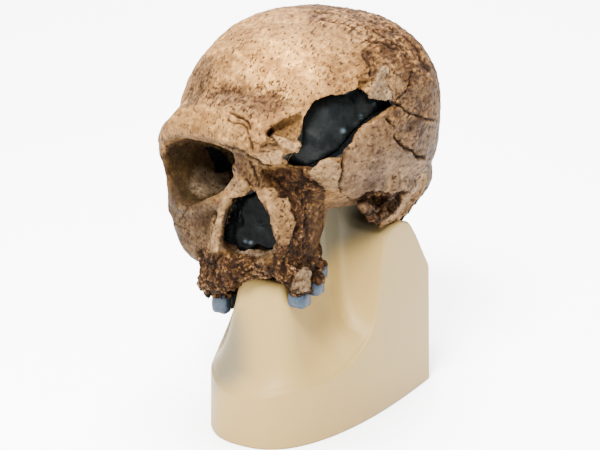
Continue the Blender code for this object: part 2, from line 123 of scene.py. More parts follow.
def insideOutline(spots, outline):
    # Distance to the outline's edge, positive inside.
    corners = np.asarray(outline, float)
    away = np.full(len(spots), 1e9)
    crossed = np.zeros(len(spots), int)
    for start, end in zip(corners, np.roll(corners, -1, 0)):
        run = end - start
        share = np.clip((spots - start) @ run / (run @ run), 0, 1)
        away = np.minimum(away, np.linalg.norm(spots - start - share[:, None] * run, axis=1))
        spans = (start[1] > spots[:, 1]) != (end[1] > spots[:, 1])
        climb = run[1] if abs(run[1]) > 1e-9 else 1e-9
        across = start[0] + run[0] * (spots[:, 1] - start[1]) / climb
        crossed += spans & (spots[:, 0] < across)
    return np.where(crossed % 2 == 1, away, -away)


def seenAt(points):
    # Where points of the part fall in the picture, and how far from the eye they are.
    away = points - eyeAt
    depth = -(away @ viewBack)
    scale = pictureWide * lens / sensor / depth
    across = pictureWide / 2 + away @ viewRight * scale
    down = pictureHigh / 2 - away @ viewUp * scale
    return np.stack([across, down], 1), depth


def inView(points, normals):
    # 1 where the skin faces the camera and nothing stands before it.
    spots, depth = seenAt(points)
    wide, high = pictureWide // 2, pictureHigh // 2
    across = np.clip((spots[:, 0] / 2).astype(int), 0, wide - 1)
    down = np.clip((spots[:, 1] / 2).astype(int), 0, high - 1)
    cell = down * wide + across
    nearest = np.full(wide * high, 1e9)
    np.minimum.at(nearest, cell, depth)
    facing = np.einsum("ij,ij->i", normals, eyeAt - points) / depth
    return smoothStep(9, 5, depth - nearest[cell]) * smoothStep(-0.08, 0.02, facing)


def meshFrom(name, coords, faces):
    mesh = bpy.data.meshes.new(name)
    mesh.from_pydata([tuple(c) for c in coords], [], faces)
    mesh.update()
    return mesh


def linked(name, mesh):
    piece = bpy.data.objects.new(name, mesh)
    bpy.context.scene.collection.objects.link(piece)
    return piece


def finished(piece):
    # The piece with its modifiers turned into plain mesh.
    bpy.context.view_layer.update()
    graph = bpy.context.evaluated_depsgraph_get()
    mesh = bpy.data.meshes.new_from_object(piece.evaluated_get(graph))
    piece.modifiers.clear()
    piece.data = mesh
    return piece


def addBar(bm, line, sizes):
    # A rounded bar through points of the skull's frame, as a close row of balls.
    line = np.asarray(line, float)
    for start, end, first, last in zip(line, line[1:], sizes, sizes[1:]):
        count = max(2, int(np.linalg.norm(end - start) / (min(first, last) * 0.45)))
        for i in range(count + 1):
            share = i / count
            spot = (start + (end - start) * share + skullAt) * mm
            size = (first + (last - first) * share) * mm
            place = Matrix.Translation(spot)
            bmesh.ops.create_icosphere(bm, subdivisions=2, radius=size, matrix=place)


def skinOver(name, wanted, voxel, swell=0.2, soften=4, extra=()):
    # One fine skin over copies of the named solids, each swollen a little so that they join.
    bm = bmesh.new()
    for node in wanted:
        start = len(bm.verts)
        bm.from_mesh(nodes[node].data)
        bm.verts.ensure_lookup_table()
        bmesh.ops.remove_doubles(bm, verts=bm.verts[start:], dist=0.000005)
    bm.normal_update()
    for vert in bm.verts:
        vert.co += vert.normal * swell * mm
    for line, sizes in extra:
        addBar(bm, line, sizes)
    mesh = bpy.data.meshes.new(name)
    bm.to_mesh(mesh)
    bm.free()
    piece = linked(name, mesh)
    remesh = piece.modifiers.new("remesh", "REMESH")
    remesh.mode = "VOXEL"
    remesh.voxel_size = voxel * mm
    soft = piece.modifiers.new("soft", "SMOOTH")
    soft.iterations = soften
    return finished(piece)


def coordsOf(piece):
    coords = np.empty(len(piece.data.vertices) * 3)
    piece.data.vertices.foreach_get("co", coords)
    return coords.reshape(-1, 3) / mm


def normalsOf(piece):
    normals = np.empty(len(piece.data.vertices) * 3)
    piece.data.vertices.foreach_get("normal", normals)
    return normals.reshape(-1, 3)


def setCoords(piece, coords):
    piece.data.vertices.foreach_set("co", (coords * mm).ravel())
    piece.data.update()


def setMask(piece, name, values):
    layer = piece.data.attributes.new(name, "FLOAT", "POINT")
    layer.data.foreach_set("value", np.clip(values, 0, 1).astype(np.float32))


def setTone(piece, name, colours):
    layer = piece.data.attributes.new(name, "FLOAT_COLOR", "POINT")
    rows = np.ones((len(colours), 4), np.float32)
    rows[:, :3] = colours
    layer.data.foreach_set("color", rows.ravel())


def smoothShaded(piece):
    piece.data.shade_smooth()
    return piece


class Wire:
    # A shader socket that takes part in sums.
    def __init__(self, tree, socket):
        self.tree = tree
        self.socket = socket

    def join(self, kind, other, flipped=False):
        node = self.tree.nodes.new("ShaderNodeMath")
        node.operation = kind
        ends = [other, self] if flipped else [self, other]
        for socket, value in zip(node.inputs, ends):
            plug(self.tree, socket, value)
        return Wire(self.tree, node.outputs[0])

    def __add__(self, other):
        return self.join("ADD", other)

    __radd__ = __add__

    def __mul__(self, other):
        return self.join("MULTIPLY", other)

    __rmul__ = __mul__

    def __sub__(self, other):
        return self.join("SUBTRACT", other)

    def __rsub__(self, other):
        return self.join("SUBTRACT", other, flipped=True)


def plug(tree, socket, value):
    if isinstance(value, Wire):
        tree.links.new(value.socket, socket)
    elif isinstance(value, (tuple, list)) and socket.type == "RGBA":
        socket.default_value = (*value[:3], 1)
    elif value is not None:
        socket.default_value = value


class Look:
    # One procedural material.
    def __init__(self, name):
        self.material = bpy.data.materials.new(name)
        self.material.use_nodes = True
        self.tree = self.material.node_tree
        self.shader = self.tree.nodes["Principled BSDF"]

    def node(self, kind, settings=None, inputs=None, out=0):
        made = self.tree.nodes.new("ShaderNode" + kind)
        for key, value in (settings or {}).items():
            setattr(made, key, value)
        for key, value in (inputs or {}).items():
            plug(self.tree, made.inputs[key], value)
        return Wire(self.tree, made.outputs[out])

    def mask(self, name):
        return self.node("Attribute", {"attribute_name": name}, out=2)

    def tone(self, name):
        return self.node("Attribute", {"attribute_name": name}, out=0)

    def place(self):
        return self.node("TexCoord", out=3)

    def stretched(self, place, scale):
        return self.node("Mapping", inputs={"Vector": place, "Scale": scale})

    def grain(self, place, size, detail=2, rough=0.5):
        inputs = {"Vector": place, "Scale": 1 / (size * mm), "Detail": detail, "Roughness": rough}
        return self.node("TexNoise", inputs=inputs)

    def ramp(self, value, low, high):
        inputs = {"Value": value, "From Min": low, "From Max": high}
        return self.node("MapRange", {"interpolation_type": "SMOOTHSTEP"}, inputs)

    def blend(self, share, first, second, kind="MIX"):
        made = self.tree.nodes.new("ShaderNodeMix")
        made.data_type = "RGBA"
        made.blend_type = kind
        plug(self.tree, made.inputs[0], share)
        plug(self.tree, made.inputs[6], first)
        plug(self.tree, made.inputs[7], second)
        return Wire(self.tree, made.outputs[2])

    def bump(self, height, strength, distance):
        inputs = {"Height": height, "Strength": strength, "Distance": distance * mm}
        return self.node("Bump", inputs=inputs)

    def set(self, **values):
        for key, value in values.items():
            plug(self.tree, self.shader.inputs[key.replace("_", " ")], value)
        return self

    def wear(self, piece):
        piece.data.materials.clear()
        piece.data.materials.append(self.material)


# Multipliers and inks of the bone's fine marks.
boneInks = {
    "blotch": (0.38, 0.30, 0.23),
    "mottle": (0.34, 0.25, 0.19),
    "lift": (1.9, 1.85, 1.8),
    "grain": (0.42, 0.34, 0.28),
    "fleck": (0.020, 0.008, 0.003),
    "pore": (0.012, 0.0055, 0.0018),
    # Pale crumb tops: partly their paler colour, partly painted highlight.
    "crumbPaleAndHighlight": (2.5, 2.7, 4.4),
    # Dark of cracks and joins, and painted shade in pits and hollows.
    "crackDarkAndShade": (0.008, 0.0035, 0.0015),
    "paint": (0.0015, 0.0018, 0.0018),
}


def boneLook():
    look = Look("castBone")
    inks = boneInks
    place = look.place()
    tone = look.tone("tone")
    rough, cavity, gloss = [look.mask(name) for name in ("rough", "cavity", "gloss")]
    porous = look.mask("porous")
    pores = look.grain(place, 1.7, 6, 0.72)
    mottle = look.grain(place, 3.6, 5, 0.62)
    blotch = look.grain(place, 14, 5, 0.62)
    fine = look.grain(place, 1.0, 3, 0.6)
    streak = look.grain(look.stretched(place, (1.0, 0.34, 0.8)), 1.5, 4, 0.62)
    flecks = look.grain(look.stretched(place, (0.6, 1.0, 0.45)), 1.5, 5, 0.66)
    # Each step: how far it shows, its ink, and how it is laid on.
    steps = [
        (look.ramp(blotch, 0.40, 0.64) * (0.45 + rough * 0.45), inks["blotch"], "MULTIPLY"),
        (look.ramp(mottle, 0.46, 0.64) * (0.52 + rough * 0.18), inks["mottle"], "MULTIPLY"),
        (look.ramp(mottle, 0.46, 0.30) * 0.9, inks["lift"], "MULTIPLY"),
        (look.ramp(fine, 0.50, 0.66) * (0.35 + rough * 0.3), inks["grain"], "MULTIPLY"),
        (look.ramp(streak + rough * 0.12, 0.57, 0.67) * 0.9, inks["fleck"], "MIX"),
        (look.ramp(flecks + rough * 0.06, 0.66, 0.74) * look.ramp(blotch, 0.34, 0.56) * 0.65,
         inks["fleck"], "MIX"),
        (look.ramp(pores, 0.51, 0.61) * porous * 0.75, inks["pore"], "MIX"),
        # Pale crumb tops: partly their paler colour, partly painted highlight.
        (look.ramp(pores, 0.51, 0.40) * porous * 0.8, inks["crumbPaleAndHighlight"], "MULTIPLY"),
        # Crevices darkened: the dark of cracks and joins, and painted shade in pits and hollows.
        (cavity * 0.94, inks["crackDarkAndShade"], "MIX"),
        (gloss, inks["paint"], "MIX"),
    ]
    colour = tone
    for share, ink, kind in steps:
        colour = look.blend(share, colour, ink, kind)
    height = mottle * (0.5 + rough * 0.5) + fine * 0.4 - look.ramp(streak, 0.56, 0.70) * 0.9
    height = height - look.ramp(pores, 0.46, 0.60) * porous * 1.2
    look.set(Base_Color=colour, Roughness=(0.52 + fine * 0.2) - gloss * 0.42)
    look.set(Normal=look.bump(height, 0.85, 0.6), Specular_IOR_Level=0.035)
    return look


def blackLook(name, share, shine):
    look = Look(name)
    wave = look.grain(look.place(), 7, 3)
    # share below 1 gives a darker copy of the same paint, as painted shade.
    dark = (0.0022 * share, 0.0028 * share, 0.0028 * share)
    light = (0.0048 * share, 0.0056 * share, 0.0054 * share)
    colour = look.blend(look.ramp(wave, 0.35, 0.65), dark, light)
    # Painted glints: highlights painted onto the black.
    colour = look.blend(look.mask("paintedGlint"), colour, (0.05, 0.066, 0.078))
    look.set(Base_Color=colour, Roughness=0.14 + wave * 0.16 + look.mask("dull") * 0.6)
    look.set(Normal=look.bump(wave, 0.5, 1.8), Specular_IOR_Level=shine)
    return look


def toothLook():
    look = Look("blueTooth")
    fine = look.grain(look.place(), 2.2, 3)
    colour = look.blend(look.ramp(fine, 0.35, 0.68), (0.0045, 0.0115, 0.021), (0.012, 0.023, 0.036))
    look.set(Base_Color=colour, Roughness=0.45, Normal=look.bump(fine, 0.35, 0.4))
    look.set(Specular_IOR_Level=0.22)
    return look


def plinthLook():
    look = Look("creamPlinth")
    fine = look.grain(look.place(), 1.1, 2)
    # The shade mask lays painted shade, greyer and darker, on the cream.
    colour = look.blend(look.mask("shade"), (0.200, 0.130, 0.037), (0.066, 0.057, 0.035))
    look.set(Base_Color=colour, Roughness=0.52 + fine * 0.06, Normal=look.bump(fine, 0.03, 0.3))
    look.set(Specular_IOR_Level=0.22)
    return look


boneNodes = ["frontal_bone", "parietal_left", "parietal_right", "occipital_bone", "temporal_left",
             "temporal_right", "sphenoid_base", "cheekbone_right", "upper_jaw"]

# Crowns: x, y and z of the crown's foot, then width across, length along the row and height, mm.
teeth = {
    "right": [
        (-25, -76, -58, 10.5, 7.5, 10.5), (-26, -67, -58, 12, 11, 10.5),
        (-28, -56, -56, 12, 10.5, 8), (-29, -46, -53, 11, 9, 7),
    ],
    "left": [(27, -76, -46, 11.5, 11, 8), (29, -64.5, -42, 12, 10.5, 8), (26, -54, -38, 11, 9, 7)],
}

# Albedo of the cast's regions, and tones laid on as painted light and shade.
tones = {
    # Pale bone brightened further by a painted highlight, for the forehead's brightest centre.
    "paleAndHighlight": (0.36, 0.187, 0.054),
    "sand": (0.168, 0.086, 0.028),
    "tan": (0.130, 0.069, 0.024),
    "umber": (0.084, 0.048, 0.022),
    "putty": (0.068, 0.043, 0.025),
    "clay": (0.043, 0.026, 0.012),
    "rust": (0.060, 0.0295, 0.0068),
    "amber": (0.155, 0.090, 0.036),
    "olive": (0.0125, 0.0078, 0.0017),
    "ash": (0.110, 0.078, 0.046),
    "bister": (0.010, 0.005, 0.0016),
    "pale": (0.165, 0.098, 0.044),
}

# Small forms fused into the skin: points of the skull's frame and sizes, mm.
bars = {
    "splinter": ([
        (16, -90, 47), (19, -90, 45.5), (23, -88, 44), (27, -85, 42), (30, -82.5, 40.5),
    ], [2.0, 3.0, 2.8, 2.0, 0.9]),
    "splinterLedge": ([
        (10, -93, 37), (14, -92, 33), (19, -89, 32), (23, -87, 36), (27, -85, 38.5),
    ], [1.6, 2.2, 2.0, 1.6, 1.0]),
    "browLumpA": ([(9, -94, 46), (12, -92.5, 46.5)], [2.6, 2.8]),
    "browLumpB": ([(13, -92, 42), (15.5, -90, 43)], [2.6, 2.4]),
    "browCrest": ([
        (10, -92, 52), (17, -87.5, 55.5), (24, -82.5, 58.5), (30, -79, 62),
    ], [1.6, 1.6, 1.4, 1.0]),
    "nostrilEdge": ([
        (3, -94, 20), (-4, -91, 14), (-11, -90.5, 8), (-15, -90, -1), (-18.5, -89.5, -10),
        (-22, -87, -20), (-22.5, -86.5, -27), (-22, -87.5, -34),
    ], [1.2, 1.6, 1.8, 1.8, 1.8, 2.0, 2.2, 1.6]),
    "noseSill": ([
        (-17, -88, -31), (-9, -88.5, -29.5), (-2, -88, -28.5), (5, -87.5, -28), (12, -87.5, -24.5),
    ], [1.4, 1.3, 1.5, 1.4, 1.2]),
    "noseSpine": ([
        (-9, -82, -28), (-3, -80, -25.5), (3, -80, -25.5), (8, -83, -28),
    ], [1.2, 1.7, 1.7, 1.2]),
    "earCrumbs": ([
        (46, -38, -1), (46, -30, -7), (46, -21, -13), (45, -12, -18), (46, 2, -18), (46, 12, -15),
    ], [3.0, 4.0, 4.6, 4.2, 4.2, 4.0]),
    "earSpike": ([(43, -8, -16), (43, -6, -22)], [3.2, 2.4]),
    "earRim": ([(49, 22, -13), (48, 10, -18), (47, -2, -22), (45, -12, -25)], [4.0, 4.6, 4.0, 3.0]),
    "earRidge": ([(54, -22, 4), (53, -15, -3), (52, -8, -9)], [1.8, 2.2, 1.8]),
    "jawEnd": ([
        (-33, -81, -36), (-34, -80.5, -44), (-33.5, -80, -51), (-31, -79, -57),
    ], [3.0, 3.6, 3.8, 3.2]),
    "jawTooth": ([(31, -80, -33), (32.5, -79.5, -38), (32, -80, -43)], [2.6, 3.2, 2.6]),
}

# Sheets of bone that stand up from the skin or lie under it: outline in the picture, height in mm,
# tone, how strongly the tone shows, and how dark the crack around it is. The dark tones laid in
# the sunk hollows are painted shade.
plates = {
    "squama": ([
        (343, 153), (352, 143), (357, 134), (364, 127), (372, 121), (380, 118), (386, 119),
        (391, 125), (393, 138), (400, 145), (410, 149), (416, 156), (424, 158), (427, 171),
        (423, 184), (412, 193), (402, 190), (392, 193), (380, 190), (366, 191), (358, 197),
        (350, 198), (341, 191), (336, 184), (341, 173), (343, 163),
    ], 1.5, "putty", 0.55, 0.8),
    "archLump": ([
        (309, 172), (314, 167), (321, 162), (331, 160), (339, 162), (342, 170), (338, 180),
        (340, 189), (330, 189), (322, 186), (313, 178),
    ], 1.0, "ash", 0.4, 0.5),
    "notchPlate": ([
        (370, 92), (366, 95), (370, 98), (380, 98), (389, 99), (390, 92), (386, 86), (383, 78),
        (388, 75), (389, 68), (382, 66), (377, 72), (374, 80), (371, 86),
    ], 1.5, "ash", 0.85, 0.8),
    "notchPlateB": ([
        (391, 98), (400, 98), (405, 92), (406, 85), (401, 78), (391, 78), (388, 84), (390, 92),
    ], 1.1, "umber", 0.6, 0.7),
    "nosePlate": ([
        (257, 191), (260, 198), (265, 205), (270, 212), (272, 222), (275, 233), (277, 241),
        (282, 245), (288, 244), (291, 236), (292, 229), (296, 221), (292, 212), (291, 203),
        (288, 196), (283, 199), (277, 196), (272, 188), (266, 187),
    ], 1.6, "pale", 0.55, 0.7),
    "jawBlock": ([
        (299, 270), (306, 268), (311, 272), (310, 285), (308, 292), (298, 294), (290, 291),
        (293, 281),
    ], 1.0, "ash", 0.8, 0.6),
    "browLedge": ([
        (251, 151), (256, 152), (266, 152), (280, 151), (284, 153), (281, 163), (272, 165),
        (265, 164), (258, 158),
    ], 0.8, "pale", 0.8, 0.6),
    "noseRootPlate": ([
        (236, 186), (241, 180), (245, 181), (248, 188), (245, 195), (240, 197), (235, 196),
    ], 1.0, "pale", 0.7, 0.5),
    "browPocket": ([
        (266, 134), (272, 126), (281, 121), (290, 118), (299, 112), (303, 118), (301, 128),
        (296, 138), (284, 137), (275, 134), (270, 139),
    ], -4.5, "rust", 0.7, 0.9),
    # The spur's raised face, painted pale as painted light on its lit face.
    "splinterLitFace": ([
        (271, 134), (276, 135), (285, 138), (293, 141), (299, 143), (303, 147), (298, 151),
        (291, 150), (284, 148), (277, 144),
    ], 1.2, "pale", 0.9, 0.95),
    "browPit": ([
        (268, 130), (273, 127), (277, 130), (275, 136), (270, 138),
    ], -3.0, "bister", 0.95, 0.3),
    "lumpPit": ([
        (260, 145), (268, 141), (276, 143), (280, 149), (268, 151), (260, 150),
    ], -3.0, "umber", 0.9, 0.7),
    "notchHollow": ([
        (359, 79), (371, 79), (370, 87), (366, 93), (358, 89),
    ], -2.2, "rust", 0.8, 0.4),
    "cheekSlit": ([
        (203, 221), (206, 223), (208, 229), (207, 234), (204, 230),
    ], -2.2, "bister", 0.8, 0.3),
    "earHollow": ([
        (362, 194), (372, 191), (382, 193), (386, 200), (382, 207), (374, 204), (366, 201),
    ], -3.0, "rust", 0.9, 0.6),
    "earHollowB": ([
        (391, 201), (398, 193), (406, 190), (405, 197), (397, 206), (391, 213), (386, 210),
    ], -3.4, "bister", 0.7, 0.5),
    "earHollowC": ([
        (374, 208), (382, 209), (386, 214), (382, 220), (375, 217),
    ], -2.4, "bister", 0.7, 0.4),
    "earEdge": ([
        (408, 190), (420, 172), (426, 172), (425, 186), (414, 205), (400, 220), (388, 231),
        (377, 231), (380, 222), (389, 215), (398, 206),
    ], 0.6, "pale", 0.75, 0.5),
}

# Lines of cracks and old joins: points in the picture, half width in picture units, depth in mm.
cracks = {
    "templeTail": ([(391, 101), (397, 104), (403, 108)], 2.4, 1.6),
    "squamaBack": ([
        (386, 118), (391, 125), (393, 138), (400, 146), (410, 150), (416, 157), (424, 156),
    ], 2.2, 2.4),
    "squamaHeel": ([(424, 158), (427, 170), (424, 183), (418, 194)], 1.3, 0.8),
    "squamaFront": ([
        (349, 146), (344, 154), (342, 163), (341, 172), (337, 183), (340, 190),
    ], 1.5, 1.4),
    "sutureTop": ([(414, 68), (410, 78), (411, 84), (404, 92), (396, 99)], 1.6, 1.3),
    "sutureHigh": ([(398, 44), (404, 52), (409, 60), (414, 68)], 1.6, 1.0),
    "topA": ([(311, 12), (322, 12), (332, 13), (342, 16)], 1.3, 0.8),
    "topB": ([(320, 19), (332, 23), (345, 26), (355, 30)], 1.4, 0.7),
    "topC": ([(352, 21), (364, 28), (376, 33), (388, 40), (400, 46)], 1.3, 0.8),
    "topD": ([(362, 40), (374, 44), (386, 45), (398, 50)], 1.5, 0.8),
    "topE": ([(384, 26), (398, 33), (410, 43), (420, 52)], 1.2, 0.7),
    "topF": ([(414, 46), (420, 56), (424, 66), (430, 72)], 2.6, 1.4),
    "joinA": ([(362, 52), (366, 60), (371, 68), (370, 78)], 1.7, 1.0),
    "joinB": ([(366, 50), (373, 58), (376, 68)], 1.2, 0.8),
    "parietalBreak": ([(396, 104), (404, 110), (412, 114), (424, 118), (436, 120)], 2.0, 1.4),
    "foldA": ([(229, 112), (236, 116), (243, 118), (248, 122), (250, 131)], 2.0, 1.7),
    "foldB": ([(226, 119), (233, 122), (241, 124), (246, 128), (249, 136)], 1.4, 1.1),
    "foldC": ([(250, 137), (251, 143), (253, 150)], 1.9, 1.3),
    "browSeam": ([(218, 143), (228, 146), (238, 149), (246, 151)], 1.1, 0.7),
    "rootA": ([(246, 152), (255, 157), (262, 162), (272, 167)], 1.5, 1.2),
    "rootB": ([(250, 160), (254, 170), (258, 180), (260, 188)], 1.8, 1.2),
    "rootC": ([(246, 178), (250, 184), (253, 190)], 1.7, 1.2),
    "underTemple": ([(284, 165), (295, 167), (304, 168), (313, 169)], 1.7, 1.2),
    "wallEdge": ([(300, 168), (303, 177), (312, 182), (323, 188)], 2.2, 1.6),
    "plateBack": ([(274, 176), (281, 186), (288, 192), (292, 204)], 1.6, 1.2),
    "cheekA": ([(182, 203), (188, 208), (183, 216), (179, 223)], 1.2, 0.5),
    "cheekB": ([(172, 222), (180, 226), (188, 230), (190, 236)], 1.0, 0.4),
    "jawA": ([(222, 252), (218, 260), (208, 266)], 1.4, 0.9),
    "jawB": ([(251, 258), (256, 264), (258, 272)], 1.3, 0.9),
    "jawC": ([(296, 262), (304, 267), (312, 266)], 1.7, 1.4),
}

# Tinted areas: outline in the picture, tone, share of the tone, extra roughness, and how soft
# the edge is. Most are stains of the bone; those marked below are painted light or shade.
stainsAndPaintedLight = {
    # Partly the lower forehead's mottled brown, partly painted shade in the hollow above the brow.
    "lowerForehead": ([
        (200, 88), (222, 84), (250, 86), (282, 82), (292, 92), (286, 104), (272, 116), (250, 116),
        (232, 108), (206, 104),
    ], "umber", 0.6, 0.7, 18),
    "cheekTone": ([
        (170, 196), (204, 202), (208, 222), (204, 244), (190, 246), (176, 232),
    ], "clay", 0.4, 0.3, 8),
    "foreheadSide": ([
        (203, 55), (213, 58), (214, 78), (206, 92), (196, 104), (184, 108), (186, 92), (192, 74),
    ], "umber", 0.9, 0.4, 6),
    # Forehead centre: partly its paler bone, partly a painted pool of light where the light falls
    # brightest.
    "foreheadPaleAndHighlight": ([
        (238, 54), (268, 38), (304, 38), (326, 54), (322, 78), (300, 94), (276, 94), (252, 82),
        (240, 62),
    ], "paleAndHighlight", 0.8, 0, 26),
    "topRough": ([
        (306, 6), (345, 8), (400, 20), (428, 46), (437, 84), (414, 78), (400, 62), (372, 48),
        (350, 34), (318, 24),
    ], "sand", 0.7, 0.5, 16),
    "notchStain": ([
        (358, 48), (370, 50), (378, 62), (374, 80), (360, 88), (352, 80), (362, 70),
    ], "rust", 0.55, 0.5, 11),
    "rearBlot": ([(408, 120), (424, 118), (430, 128), (420, 136), (408, 132)], "clay", 0.8, 0.2, 5),
    "squamaBlot": ([
        (363, 178), (370, 173), (380, 172), (385, 178), (380, 186), (368, 188),
    ], "clay", 0.85, 0.2, 3),
    "squamaDash": ([
        (361, 160), (366, 164), (374, 163), (378, 160), (372, 166), (364, 166),
    ], "bister", 0.7, 0.1, 1.5),
    "amberEdge": ([
        (314, 184), (323, 188), (324, 214), (324, 244), (317, 246), (312, 216),
    ], "amber", 0.45, 0, 3),
    # Painted shade under the brow ridge.
    "underBrowShade": ([
        (160, 138), (180, 134), (210, 138), (236, 144), (240, 150), (214, 148), (184, 143),
        (166, 150),
    ], "clay", 0.6, 0.1, 4),
    "noseBridge": ([
        (222, 146), (246, 150), (268, 166), (276, 180), (262, 190), (250, 186), (238, 172),
        (230, 158),
    ], "clay", 0.75, 0.5, 4),
    "leftWall": ([
        (262, 166), (300, 168), (324, 186), (324, 232), (322, 262), (296, 266), (280, 262),
        (279, 246), (292, 240), (294, 214), (286, 196), (270, 186),
    ], "rust", 0.9, 0.8, 3),
    "wallRust": ([(276, 170), (294, 168), (304, 180), (298, 190), (284, 186)], "rust", 0.9, 0.2, 3),
    "noseHole": ([
        (226, 200), (240, 198), (252, 190), (262, 206), (272, 230), (272, 244), (262, 254),
        (232, 256), (222, 246),
    ], "bister", 0.8, 0.1, 2),
    "orbitLight": ([
        (196, 166), (214, 172), (236, 175), (237, 186), (222, 192), (200, 197), (188, 186),
    ], "ash", 0.55, 0, 8),
    # Painted shade under the brow in the socket's upper left.
    "orbitShade": ([
        (168, 148), (186, 141), (210, 147), (212, 160), (196, 164), (188, 190), (176, 200),
        (172, 170),
    ], "bister", 0.45, 0, 8),
    "nostrilRim": ([
        (244, 181), (248, 190), (238, 196), (230, 202), (225, 212), (221, 226), (219, 242),
        (218, 256), (210, 264), (206, 256), (210, 236), (214, 216), (221, 202), (232, 192),
    ], "pale", 0.75, 0, 2.5),
    "plateLight": ([
        (392, 156), (424, 160), (424, 186), (402, 194), (384, 190), (384, 168),
    ], "pale", 0.9, 0, 6),
    "noseSillLight": ([
        (229, 258), (238, 250), (250, 247), (262, 251), (272, 246), (276, 249), (264, 256),
        (246, 257), (236, 261),
    ], "ash", 0.8, 0, 1.5),
    "jawRust": ([
        (204, 258), (222, 250), (256, 258), (262, 270), (240, 286), (222, 300), (198, 298),
    ], "rust", 0.9, 0.7, 3),
    "jawLeft": ([
        (262, 262), (282, 248), (322, 244), (326, 272), (314, 290), (290, 298), (278, 280),
    ], "rust", 0.85, 0.8, 3),
    "earRust": ([
        (359, 195), (366, 192), (378, 192), (386, 198), (392, 196), (404, 190), (404, 197),
        (396, 208), (386, 219), (378, 222), (368, 212),
    ], "rust", 0.9, 0.8, 2),
}

# Places painted gloss black, as outlines in the picture.
blackened = {
    "temple": [
        (283, 157), (288, 153), (297, 152), (303, 148), (300, 143), (297, 139), (301, 131),
        (303, 122), (306, 113), (311, 106), (317, 100), (326, 98), (334, 95), (343, 94), (349, 91),
        (357, 89), (364, 91), (368, 96), (373, 98), (381, 98), (389, 99), (393, 101), (393, 106),
        (388, 108), (383, 112), (378, 115), (372, 119), (364, 125), (358, 130), (354, 137),
        (351, 143), (345, 150), (342, 156), (335, 158), (328, 158), (321, 161), (318, 166),
        (313, 168), (303, 166), (294, 166), (288, 163),
    ],
    "nose": [
        (250, 190), (256, 190), (257, 199), (262, 206), (268, 212), (270, 217), (272, 226),
        (275, 234), (276, 240), (272, 245), (266, 244), (256, 244), (248, 243), (240, 243),
        (233, 245), (224, 241), (223, 234), (225, 222), (229, 210), (231, 204), (232, 198),
        (240, 197), (245, 196), (248, 192),
    ],
    "orbit": [
        (204, 147), (212, 147), (219, 150), (226, 156), (232, 164), (237, 172), (230, 171),
        (222, 173), (215, 173), (214, 164), (210, 157),
    ],
}
# The right eye socket, mm: middle of its rim, where its cone would close, half width and height.
socketStart = np.array((-33.0, -82.0, 17.0))
socketEnd = np.array((-13.0, -38.0, 16.0))
socketWide = 27
socketHigh = 20


def socketMask(points):
    # 1 on the walls inside the right eye socket.
    way = np.clip((points[:, 1] - socketStart[1]) / (socketEnd[1] - socketStart[1]), 0, 1)
    hub = socketStart + (socketEnd - socketStart) * way[:, None]
    narrow = np.sqrt(1 - 0.9 * way * way)
    across = (points[:, 0] - hub[:, 0]) / (socketWide * narrow + 2)
    up = (points[:, 2] - hub[:, 2]) / (socketHigh * narrow + 2)
    inside = smoothStep(1.25, 1.0, np.hypot(across, up))
    return inside * smoothStep(-81, -77, points[:, 1]) * smoothStep(-30, -36, points[:, 1])


def toothBox(points, tooth, grow):
    x, y, z, wide, long, tall = tooth
    across = np.abs(points[:, 0] - x) < wide / 2 + grow
    along = np.abs(points[:, 1] - y) < long / 2 + grow
    return across & along & (points[:, 2] < z)


def toward(colours, tone, share):
    return colours + (np.array(tones[tone]) - colours) * np.clip(share, 0, 1)[:, None]


def groundTones(points):
    # Tones, roughness and spongy areas from the place on the skull alone, for all its sides.
    across, back, up = points.T
    front = smoothStep(-60, -78, back)
    left = smoothStep(13, 22, across + 4 * noise(points, 9, 3)) * smoothStep(30, 22, up) * front
    jaw = smoothStep(-24, -30, up + 3 * noise(points, 8, 4)) * smoothStep(-35, -55, back)
    jaw *= np.maximum(smoothStep(-40, -34, across), smoothStep(-38, -43, up))
    ear = smoothStep(10, 2, up + 4 * noise(points, 9, 40)) * smoothStep(34, 42, np.abs(across))
    ear *= smoothStep(-40, -30, back) * smoothStep(24, 12, back)
    sponge = np.maximum(np.maximum(left, jaw), ear * 0.9)
    drift = noise(points, 22, 5)
    crown = smoothStep(30, 64, up + 8 * noise(points, 26, 7))
    crown *= smoothStep(26, -22, back + 12 * drift + 0.3 * across)
    rear = smoothStep(-34, 4, back + 14 * drift + 0.35 * across) * smoothStep(20, 50, up)
    low = smoothStep(40, 20, up + 7 * noise(points, 18, 8)) * smoothStep(-62, -40, back)
    colours = np.tile(np.array(tones["tan"]), (len(points), 1))
    colours = toward(colours, "sand", crown)
    colours = toward(colours, "umber", rear * 0.6)
    colours = toward(colours, "putty", low * 0.8)
    colours = toward(colours, "clay", smoothStep(10, 0, up) * front)
    colours = toward(colours, "rust", sponge * 0.9)
    patchy = layered(points, 30, 3, 21)
    lower = smoothStep(70, 30, back * 0.3 + up)
    colours = toward(colours, "umber", smoothStep(0.1, 0.8, patchy) * 0.45 * lower)
    colours = toward(colours, "olive", socketMask(points) * 0.95)
    rough = 0.10 + 0.62 * rear + 0.2 * low + 0.6 * sponge
    rough += 0.25 * smoothStep(0.0, 0.7, patchy)
    return colours, rough, sponge


